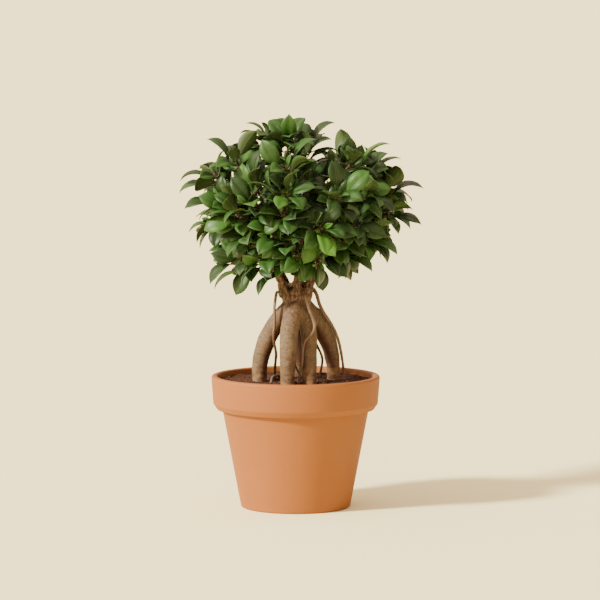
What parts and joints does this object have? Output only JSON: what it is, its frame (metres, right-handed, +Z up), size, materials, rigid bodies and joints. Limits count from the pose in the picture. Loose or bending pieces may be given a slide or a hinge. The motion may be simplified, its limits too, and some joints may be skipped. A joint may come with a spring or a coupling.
{
  "type": "ginseng ficus in a clay pot",
  "caption": "Potted ginseng ficus: swollen tuber roots and thin air roots stand in soil under a dense round crown of glossy leaves, in a round clay pot with a thick rim band.",
  "frame": {"origin": "centre of the pot's flat base, on the surface that the pot stands on", "axes": "+Z up through the pot and the plant; the front of the picture faces -Y, with +X to its right"},
  "size_m": [0.2456, 0.2189, 0.3972],
  "materials": {
    "clay": "unglazed fired terracotta, smooth and matte",
    "soil": "dark crumbly potting soil",
    "bark": "pale grey-tan bark with fine cross wrinkles",
    "thin_root": "reddish brown thin root bark",
    "leaf": "smooth leathery green leaf with a soft gloss"
  },
  "bodies": {
    "root": {"aerial_root_1": "thin_root", "aerial_root_2": "thin_root", "aerial_root_3": "thin_root", "aerial_root_4": "thin_root", "aerial_root_5": "thin_root", "pot": "clay", "soil": "soil", "spray_01": "leaf", "spray_02": "leaf", "spray_03": "leaf", "spray_04": "leaf", "spray_05": "leaf", "spray_06": "leaf", "spray_07": "leaf", "spray_08": "leaf", "spray_09": "leaf", "spray_10": "leaf", "spray_11": "leaf", "spray_12": "leaf", "spray_13": "leaf", "spray_14": "leaf", "spray_15": "leaf", "spray_16": "leaf", "spray_17": "leaf", "spray_18": "leaf", "spray_19": "leaf", "spray_20": "leaf", "spray_21": "leaf", "spray_22": "leaf", "spray_23": "leaf", "spray_24": "leaf", "spray_25": "leaf", "spray_26": "leaf", "spray_27": "leaf", "spray_28": "leaf", "spray_29": "leaf", "spray_30": "leaf", "spray_31": "leaf", "spray_32": "leaf", "spray_33": "leaf", "spray_34": "leaf", "spray_35": "leaf", "spray_36": "leaf", "spray_37": "leaf", "spray_38": "leaf", "spray_39": "leaf", "spray_40": "leaf", "spray_41": "leaf", "spray_42": "leaf", "spray_43": "leaf", "spray_44": "leaf", "spray_45": "leaf", "spray_46": "leaf", "spray_47": "leaf", "spray_48": "leaf", "spray_49": "leaf", "spray_50": "leaf", "spray_51": "leaf", "surface_root": "thin_root", "trunk": "bark"}
  },
  "joints": []
}
